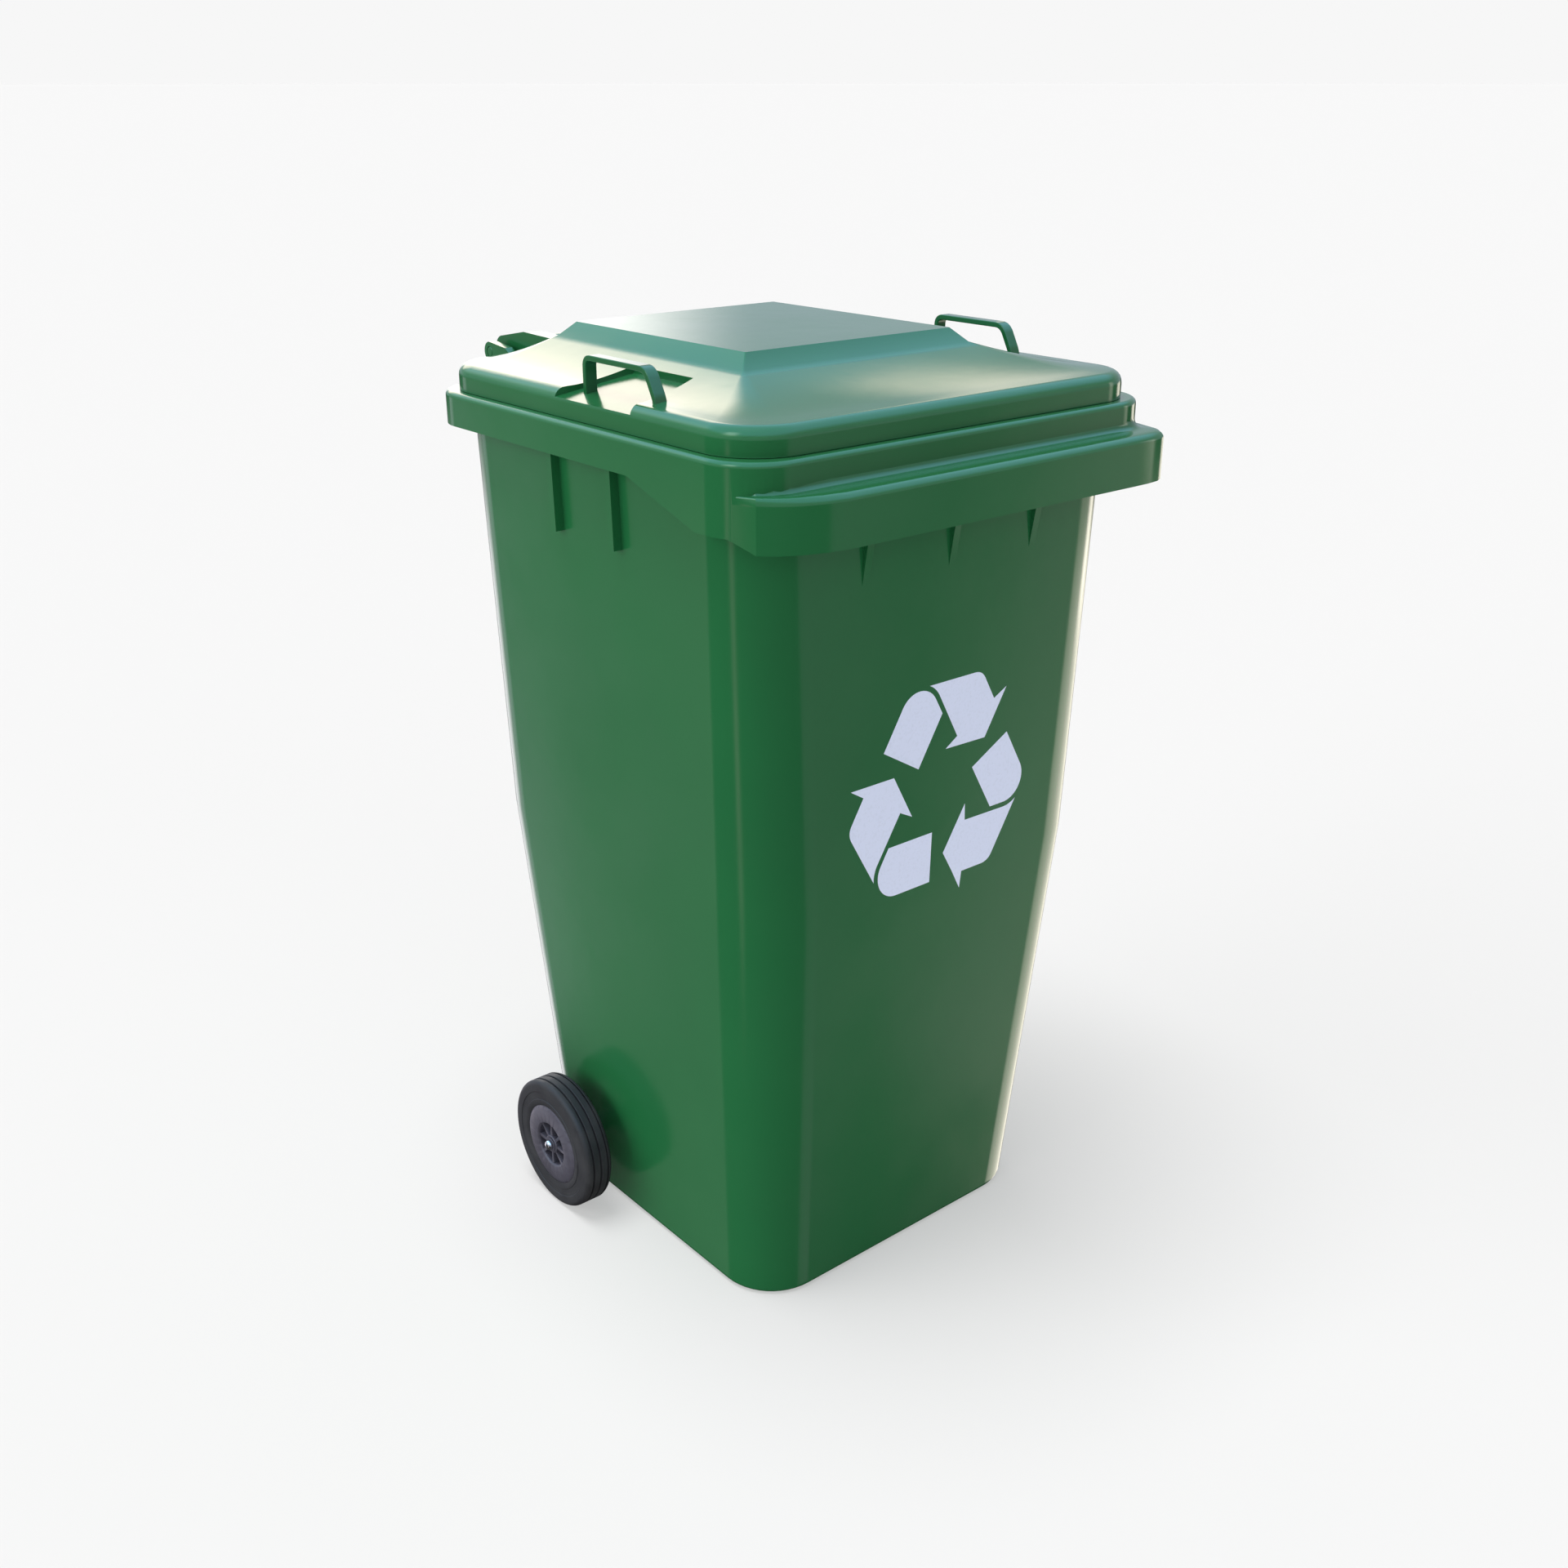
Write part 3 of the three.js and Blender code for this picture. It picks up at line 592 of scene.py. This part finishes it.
def pocket(margin):
    """The hand recess of the left side; a larger margin gives the skin round it."""
    reach = 0.32
    share = (reach - POCKET_INNER[0]) / (POCKET_OUTER[0] - POCKET_INNER[0])
    edge = between(POCKET_INNER, POCKET_OUTER, share)
    plan = slab("pocket", "z", [
        (-reach, edge[2] - margin), (-POCKET_INNER[0] + margin, POCKET_INNER[2] - margin),
        (-POCKET_INNER[0] + margin, POCKET_INNER[1] + margin), (-reach, edge[1] + margin),
    ], LID_FOOT - 0.02, PLATEAU_TOP + 0.02)
    past = 0.03
    inside, above = past - POCKET_INNER[0], PLATEAU_TOP + 0.01
    room = slab("pocket_room", "y", [
        (-reach, edge[3] - margin), (inside, POCKET_INNER[3] - margin + past * POCKET_TILT),
        (inside, above), (-reach, above)], -0.2, 0.2)
    return combine(plan, "INTERSECT", [room])


def bent_strip(corners, rounding, thick, steps=10):
    """The outline of a strip that follows a path with rounded corners."""
    path = [Vector(corners[0])]
    for before, corner, after in zip(corners, corners[1:], corners[2:]):
        corner = Vector(corner)
        start = corner + (Vector(before) - corner).normalized() * rounding
        end = corner + (Vector(after) - corner).normalized() * rounding
        for step in range(steps + 1):
            t = step / steps
            path.append(start * (1 - t) ** 2 + corner * 2 * t * (1 - t) + end * t ** 2)
    path.append(Vector(corners[-1]))
    sides = []
    for sign in (1, -1):
        for i, point in enumerate(path):
            along = (path[min(i + 1, len(path) - 1)] - path[max(i - 1, 0)]).normalized()
            sides.append(point + sign * thick / 2 * Vector((-along.y, along.x)))
    half = len(path)
    return [tuple(point) for point in sides[:half][::-1] + sides[half:]]


def strap(ease):
    """The strap handle of the left side, or with some ease the slots that its legs pass through."""
    middle = HANDLE["top"] - HANDLE["thick"] / 2
    outline = bent_strip([
        (HANDLE["rear"], HANDLE["foot"] - ease), (HANDLE["rear"], middle), (HANDLE["front"], middle),
        (HANDLE["front_foot"], LID_EDGE), (HANDLE["front_foot"], HANDLE["foot"] - ease)],
        HANDLE["round"], HANDLE["thick"] + 2 * ease)
    return slab("strap", "x", outline, -HANDLE["outer"] - ease, -HANDLE["outer"] + HANDLE["wide"] + ease)


def lid_arm():
    eye = arc(HINGE, ARM["radius"], -95, 76, 18)
    back = LID_OUTLINE[2] - 0.005
    return slab("arm", "x", [(back, 1.016), *eye, ARM["knee"], ARM["root"], (ARM["root"][0], LID_EDGE),
                             (back, 1.03)], ARM["from"], ARM["to"])


def both_sides(thing):
    return [thing, mirrored(thing)]


def make_lid():
    lid = combine(lid_block(0), "UNION", both_sides(lid_arm()))
    combine(lid, "DIFFERENCE", both_sides(pocket(0)))
    room = combine(lid_block(LID_WALL), "DIFFERENCE", both_sides(pocket(LID_WALL)))
    pin_hole = rod("hole", PIN_HOLE, ARM["from"] - 0.005, ARM["to"] + 0.005, HINGE, 32)
    combine(lid, "DIFFERENCE", [room, *both_sides(strap(SLOT_EASE)), *both_sides(pin_hole)])
    lid.name = "lid_moulding"
    return soften(lid, 0.0006)


lid = make_lid()
lid.data.materials.append(green)
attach(lid, "lid")
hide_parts("lid")


# ---------------------------------------------------------------- lid handles
# Each lid handle is a flat strap moulded in a slightly darker, glossier green. Its two legs go down through
# slots in the lid and are welded to the underside; the front leg leans back towards the grip.
glossy_green = moulded_green("glossy_green", (0.0115, 0.106, 0.034), (0.0105, 0.098, 0.032), 0.12)
for side, handle in zip(("left", "right"), both_sides(strap(0))):
    handle.name = "lid_strap_" + side
    soften(handle, 0.0011, segments=3)
    handle.data.materials.append(glossy_green)
    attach(handle, "lid")
    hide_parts("lid_handle_" + side)


# ---------------------------------------------------------------- hinge pins
# Each hinge pin is a plain rod of the same green plastic, pushed in from the side through both lugs and the
# lid's eye until its end is flush with the outer lug.
PIN_RADIUS = 0.006
PIN_CHAMFER = 0.001


def turned(name, profile, middle, steps):
    """A body turned round the x direction. The profile, (radius, x), closes on itself."""
    points, faces, rows = [], [], []
    for radius, x in profile:
        count = 1 if radius == 0 else steps
        rows.append([len(points) + i % count for i in range(steps)])
        points += [(x, middle[0] + radius * math.cos(2 * math.pi * i / steps),
                    middle[1] - radius * math.sin(2 * math.pi * i / steps)) for i in range(count)]
    for row, after in zip(rows, rows[1:] + rows[:1]):
        for i in range(steps):
            j = (i + 1) % steps
            corners = list(dict.fromkeys((row[i], row[j], after[j], after[i])))
            if len(corners) > 2:
                faces.append(corners)
    mesh = bpy.data.meshes.new(name)
    mesh.from_pydata(points, [], faces)
    shape = bmesh.new()
    shape.from_mesh(mesh)
    bmesh.ops.recalc_face_normals(shape, faces=shape.faces)
    shape.to_mesh(mesh)
    shape.free()
    return piece_from(name, mesh)


def smooth_turned(thing, sharp=35):
    thing.data.shade_smooth()
    thing.data.set_sharp_from_angle(angle=math.radians(sharp))
    return thing


def pin_piece():
    end = LUG["outer"][1]
    inner = PIN_RADIUS - PIN_CHAMFER
    return smooth_turned(turned("hinge_rod", [
        (0, 0.1), (inner, 0.1), (PIN_RADIUS, 0.1 + PIN_CHAMFER), (PIN_RADIUS, end - PIN_CHAMFER),
        (inner, end), (0, end)], HINGE, 48))


for side, pin in zip(("right", "left"), both_sides(pin_piece())):
    pin.name = "hinge_rod_" + side
    pin.data.materials.append(green)
    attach(pin, "bin")
    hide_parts("hinge_pin_" + side)


# ---------------------------------------------------------------- axle, washers, spacers and caps
# The axle is a zinc plated cold drawn rod through both cheeks, turned down at its ends. Going outwards it
# carries a black nylon spacer, a zinc washer, the wheel on its bush, a grey plastic washer held by the
# shoulder, and a bright pressed cap pushed onto the end.
AXLE_RADIUS = 0.007
AXLE_SHOULDER = 0.29
AXLE_TIP_RADIUS = 0.0047
AXLE_END = 0.294
TIP_BORE = 0.00505
BORE = 0.00735
FIT = 0.0003
SPACER = {"radius": 0.012, "from": 0.2153, "to": 0.2444}
WASHER = {"radius": 0.0094, "thick": 0.001, "edge": 0.0002}
BUSH = {"radius": 0.009, "from": 0.247, "to": 0.29}
CAP = {"radius": 0.0065, "skirt": 0.0015, "dome": 0.0045}


def collar(name, inner, outer, start, end, edge, steps=64):
    """A turned ring on the axle with its corners broken."""
    return smooth_turned(turned(name, [
        (inner + edge, start), (outer - edge, start), (outer, start + edge), (outer, end - edge),
        (outer - edge, end), (inner + edge, end), (inner, end - edge), (inner, start + edge),
    ], AXLE_LINE, steps))


def plated_steel():
    """Bright zinc plate over drawn steel: a cloudy bloom, and fine lines from the straightener."""
    material, tree, shader = finish("plated_steel")
    bloom = spread(tree, noise(tree, 60, 4.0), 0.3, 0.7, 0, 1)
    tree.links.new(mix_colour(tree, bloom, (0.56, 0.56, 0.58), (0.42, 0.43, 0.46)),
                   shader.inputs["Base Color"])
    shader.inputs["Metallic"].default_value = 1.0
    tree.links.new(spread(tree, bloom, 0, 1, 0.26, 0.42), shader.inputs["Roughness"])
    lines = noise(tree, 700, 2.0, (1, 0.05, 0.05))
    tree.links.new(bump(tree, lines, 0.15, 0.0001), shader.inputs["Normal"])
    return material


def bright_cap_steel():
    """Pressed spring steel with a bright plate that has dulled a little in spots."""
    material, tree, shader = finish("bright_cap_steel")
    spots = spread(tree, noise(tree, 350, 3.0), 0.45, 0.75, 0, 1)
    tree.links.new(mix_colour(tree, spots, (0.78, 0.78, 0.80), (0.55, 0.55, 0.57)),
                   shader.inputs["Base Color"])
    shader.inputs["Metallic"].default_value = 1.0
    tree.links.new(spread(tree, spots, 0, 1, 0.14, 0.34), shader.inputs["Roughness"])
    tree.links.new(bump(tree, noise(tree, 260, 1.0), 0.08, 0.0002), shader.inputs["Normal"])
    return material


def black_nylon():
    """Black nylon: satin, faintly mottled, with the grain of a spark-eroded mould."""
    material, tree, shader = finish("black_nylon")
    mottle = spread(tree, noise(tree, 120, 3.0), 0.35, 0.65, 0, 1)
    tree.links.new(mix_colour(tree, mottle, (0.028, 0.028, 0.030), (0.040, 0.040, 0.042)),
                   shader.inputs["Base Color"])
    tree.links.new(spread(tree, mottle, 0, 1, 0.42, 0.55), shader.inputs["Roughness"])
    tree.links.new(bump(tree, noise(tree, 2200, 2.0), 0.2, 0.0001), shader.inputs["Normal"])
    return material


def moulded_grey():
    """Grey polypropylene with a violet cast: satin, cloudy, dusty, with a fine erosion grain."""
    material, tree, shader = finish("moulded_grey")
    cloud = spread(tree, noise(tree, 70, 4.0), 0.35, 0.68, 0, 1)
    tree.links.new(mix_colour(tree, cloud, (0.048, 0.045, 0.062), (0.062, 0.059, 0.078)),
                   shader.inputs["Base Color"])
    tree.links.new(spread(tree, cloud, 0, 1, 0.42, 0.56), shader.inputs["Roughness"])
    tree.links.new(bump(tree, noise(tree, 1500, 2.0), 0.2, 0.0001), shader.inputs["Normal"])
    return material


def axle_fit(thing, name, material, replaced):
    thing.name = name
    thing.data.materials.append(material)
    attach(thing, "bin")
    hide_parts(replaced)


zinc = plated_steel()
nylon = black_nylon()
cap_plate = bright_cap_steel()
grey = moulded_grey()
bar_edge = 0.0006
half_bar = [(AXLE_RADIUS, AXLE_SHOULDER - bar_edge), (AXLE_RADIUS - bar_edge, AXLE_SHOULDER),
            (AXLE_TIP_RADIUS, AXLE_SHOULDER), (AXLE_TIP_RADIUS, AXLE_END - bar_edge),
            (AXLE_TIP_RADIUS - bar_edge, AXLE_END), (0, AXLE_END)]
other_half = [(radius, -x) for radius, x in half_bar[::-1]]
bar = smooth_turned(turned("axle_bar", other_half + half_bar, AXLE_LINE, 64))
axle_fit(bar, "axle_bar", zinc, "axle")
first = SPACER["to"] + FIT
second = BUSH["to"] + FIT
cup_start = second + WASHER["thick"] + FIT
cup_inside = AXLE_END + FIT
cup_edge = 0.0004
cup_profile = [(0, cup_inside), (TIP_BORE, cup_inside), (TIP_BORE, cup_start),
               (CAP["radius"] - cup_edge, cup_start), (CAP["radius"], cup_start + cup_edge),
               (CAP["radius"], cup_start + CAP["skirt"])]
for step in range(1, 9):
    turn = math.pi / 2 * step / 9
    cup_height = CAP["skirt"] + CAP["dome"] * math.sin(turn)
    cup_profile.append((CAP["radius"] * math.cos(turn), cup_start + cup_height))
cup_profile.append((0, cup_start + CAP["skirt"] + CAP["dome"]))
small_parts = [
    ("spacer_tube", collar("spacer", BORE, SPACER["radius"], SPACER["from"], SPACER["to"], 0.0006),
     nylon, "black_plastic", "wheel_spacer"),
    ("washer_in", collar("washer", BORE, WASHER["radius"], first, first + WASHER["thick"], WASHER["edge"]),
     zinc, "axle_steel", "inner_washer"),
    ("washer_out",
     collar("washer", TIP_BORE, WASHER["radius"], second, second + WASHER["thick"], WASHER["edge"]),
     grey, "hub_plastic", "outer_washer"),
    ("end_cap", smooth_turned(turned("cap", cup_profile, AXLE_LINE, 64), 50),
     cap_plate, "cap_steel", "axle_cap"),
]
for name, thing, material, slot, node in small_parts:
    for side, part in zip(("right", "left"), both_sides(thing)):
        axle_fit(part, name + "_" + side, material, node + "_" + side)


# ---------------------------------------------------------------- wheel centres and bushes
# Each wheel centre is a grey polypropylene moulding: a drum that holds the tyre, a flat outer face, and eight
# short spokes from the face to the boss. A black bush pressed through the boss turns on the axle.
TYRE = {"radius": 0.084, "inner": 0.253, "outer": 0.29, "seat": 0.052}
CENTRE = {"face": 0.291, "boss": 0.012, "ring": 0.028, "lip": 0.047, "spoke": 0.0038, "web": 0.267}
SPOKES = 8
WHEEL_STEPS = 96


def centre_piece():
    seat = TYRE["seat"] - FIT
    inner, outer, face, web = TYRE["inner"], TYRE["outer"], CENTRE["face"], CENTRE["web"]
    boss, ring_in = CENTRE["boss"], CENTRE["ring"]
    bore = BUSH["radius"] + FIT
    centre = turned("centre", [
        (bore, inner - 0.006), (boss, inner - 0.006), (boss, web), (ring_in, web), (ring_in, inner + 0.003),
        (seat, inner + 0.003), (seat, outer - 0.001), (CENTRE["lip"], face), (ring_in + 0.002, face),
        (ring_in, face - 0.002), (ring_in, web + 0.004), (boss, web + 0.004), (boss, face - 0.002),
        (boss - 0.001, face - 0.001), (bore, face - 0.001)], AXLE_LINE, WHEEL_STEPS)
    spokes = []
    for number in range(SPOKES):
        half = CENTRE["spoke"] / 2
        reach = (ring_in + 0.0015, boss - 0.0015)
        blade = slab("spoke", "x", [(-half, reach[1]), (half, reach[1]), (half, reach[0]), (-half, reach[0])],
                     web, face - 0.0025)
        blade.data.transform(Matrix.Translation((0, *AXLE_LINE))
                             @ Matrix.Rotation(2 * math.pi * number / SPOKES, 4, "X"))
        spokes.append(blade)
    return soften(combine(centre, "UNION", spokes), 0.0006)


bush = collar("bush", BORE, BUSH["radius"], BUSH["from"], BUSH["to"], 0.0004)
for name, thing, material, slot, node in (
        ("wheel_hub", centre_piece(), grey, "hub_plastic", "wheel_centre"),
        ("bush_tube", bush, nylon, "black_plastic", "wheel_bush")):
    for side, part in zip(("right", "left"), both_sides(thing)):
        part.name = name + "_" + side
        part.data.materials.append(material)
        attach(part, "wheel_" + side)
        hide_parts(node + "_" + side)


# ---------------------------------------------------------------- tyres
# Each tyre is a solid ring of black rubber stretched over the wheel centre, with rounded shoulders and three
# grooves round the tread. The rubber is matt, with a pale dust that lies thicker in patches.
GROOVES = (0.2595, 0.27, 0.2805)
GROOVE_WIDE = 0.0026
GROOVE_DEEP = 0.003
SHOULDER = 0.006


def tyre_piece():
    radius, inner, outer, seat = TYRE["radius"], TYRE["inner"], TYRE["outer"], TYRE["seat"]
    turns = [math.pi / 2 * step / 6 for step in range(7)]
    rounding = [(SHOULDER * math.sin(turn), SHOULDER * (1 - math.cos(turn))) for turn in turns]
    profile = [(seat, inner + 0.002), (seat + 0.003, inner + 0.0012), (radius - 0.014, inner)]
    profile += [(radius - SHOULDER + out, inner + along) for out, along in rounding]
    for x in GROOVES:
        half = GROOVE_WIDE / 2
        profile += [(radius, x - half - 0.0004), (radius - 0.0003, x - half),
                    (radius - GROOVE_DEEP, x - half / 2), (radius - GROOVE_DEEP, x + half / 2),
                    (radius - 0.0003, x + half), (radius, x + half + 0.0004)]
    profile += [(radius - SHOULDER + out, outer - along) for out, along in rounding[::-1]]
    profile += [(radius - 0.014, outer), (radius - 0.0145, outer - 0.0006), (seat + 0.008, outer - 0.0006),
                (seat + 0.0075, outer), (seat + 0.003, outer), (seat, outer - 0.001)]
    return smooth_turned(turned("tyre", profile, AXLE_LINE, 128), 30)


def rubber():
    """Black rubber gone matt: a pale dust that lies thicker in patches, and a sandy skin."""
    material, tree, shader = finish("rubber")
    dust = spread(tree, noise(tree, 28, 6.0), 0.42, 0.72, 0, 1)
    tree.links.new(mix_colour(tree, dust, (0.018, 0.018, 0.020), (0.032, 0.031, 0.032)),
                   shader.inputs["Base Color"])
    tree.links.new(spread(tree, dust, 0, 1, 0.55, 0.78), shader.inputs["Roughness"])
    shader.inputs["Specular IOR Level"].default_value = 0.4
    skin = bump(tree, noise(tree, 420, 3.0), 0.25, 0.0003)
    tree.links.new(bump(tree, noise(tree, 2600, 1.0), 0.2, 0.0001, skin), shader.inputs["Normal"])
    return material


black_rubber = rubber()
for side, part in zip(("right", "left"), both_sides(tyre_piece())):
    part.name = "tyre_ring_" + side
    part.data.materials.append(black_rubber)
    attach(part, "wheel_" + side)
    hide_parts("tyre_" + side)


# ---------------------------------------------------------------- recycling mark
# The mark on the front is three bent arrows of pale foil, stamped hot into the plastic so that it lies almost
# flush with the wall. Each arrow is a folded tail and a head, and they are turned by thirds of a circle.
MARK_MIDDLE = 0.6158
MARK_THICK = 0.0003
MARK_PROUD = 0.00005
FOLD_MIDDLE = (-0.0384, 0.0946)
TAIL_START = [(-0.088, 0.0645)]
TAIL_END = [(-0.0035, 0.09), (-0.036, 0.0335)]
HEAD_START = [(-0.024, 0.1255)]
HEAD_END = [(0.076, 0.089), (0.0948, 0.099), (0.0642, 0.0458), (0.0039, 0.047), (0.021, 0.058)]


def curve_through(start, corner, end, steps=10):
    """A soft bend from start to end that leans towards the corner."""
    bend = []
    for step in range(steps + 1):
        t = step / steps
        bend.append(tuple((1 - t) ** 2 * a + 2 * t * (1 - t) * b + t * t * c
                          for a, b, c in zip(start, corner, end)))
    return bend


def mark_outlines():
    tail = TAIL_START + arc(FOLD_MIDDLE, 0.0279, 150, 30, 24) + TAIL_END
    head = HEAD_START + curve_through((0.044, 0.1255), (0.0549, 0.1255), (0.0602, 0.1163))
    head += HEAD_END + arc(FOLD_MIDDLE, 0.034, 30, 65, 12)
    outlines = []
    for third in range(3):
        turn = Matrix.Rotation(-2 * math.pi * third / 3, 2)
        outlines += [[turn @ Vector(point) for point in outline] for outline in (tail, head)]
    return outlines


def front_wall(height):
    """Where the front wall stands at a height."""
    return tub_outline(height)[1]


def make_mark():
    shape = bmesh.new()
    for outline in mark_outlines():
        corners = [shape.verts.new((point.x, 0, MARK_MIDDLE + point.y)) for point in outline]
        shape.faces.new(corners)
    waist = TUB_LEVELS[1][0]
    bmesh.ops.bisect_plane(shape, geom=shape.verts[:] + shape.edges[:] + shape.faces[:],
                           plane_co=(0, 0, waist), plane_no=(0, 0, 1))
    bmesh.ops.triangulate(shape, faces=shape.faces[:])
    for corner in shape.verts:
        corner.co.y = front_wall(corner.co.z) + MARK_THICK - MARK_PROUD
    top = bmesh.ops.extrude_face_region(shape, geom=shape.faces[:])
    for corner in top["geom"]:
        if isinstance(corner, bmesh.types.BMVert):
            corner.co.y -= MARK_THICK
    bmesh.ops.recalc_face_normals(shape, faces=shape.faces[:])
    mesh = bpy.data.meshes.new("recycling_mark")
    shape.to_mesh(mesh)
    shape.free()
    return piece_from("recycling_mark", mesh)


def pale_foil():
    """Pale stamped foil: it takes the grain of the wall below it and is thinner in a few tiny spots."""
    material, tree, shader = finish("pale_foil")
    thin = spread(tree, noise(tree, 300, 4.0), 0.30, 0.50, 1, 0)
    tree.links.new(mix_colour(tree, thin, (0.69, 0.755, 0.955), (0.65, 0.715, 0.90)),
                   shader.inputs["Base Color"])
    tree.links.new(spread(tree, thin, 0, 1, 0.42, 0.50), shader.inputs["Roughness"])
    shader.inputs["Specular IOR Level"].default_value = 0.35
    tree.links.new(bump(tree, noise(tree, 1400, 2.0), 0.08, 0.0001), shader.inputs["Normal"])
    return material


mark = make_mark()
mark.data.materials.append(pale_foil())
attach(mark, "bin")
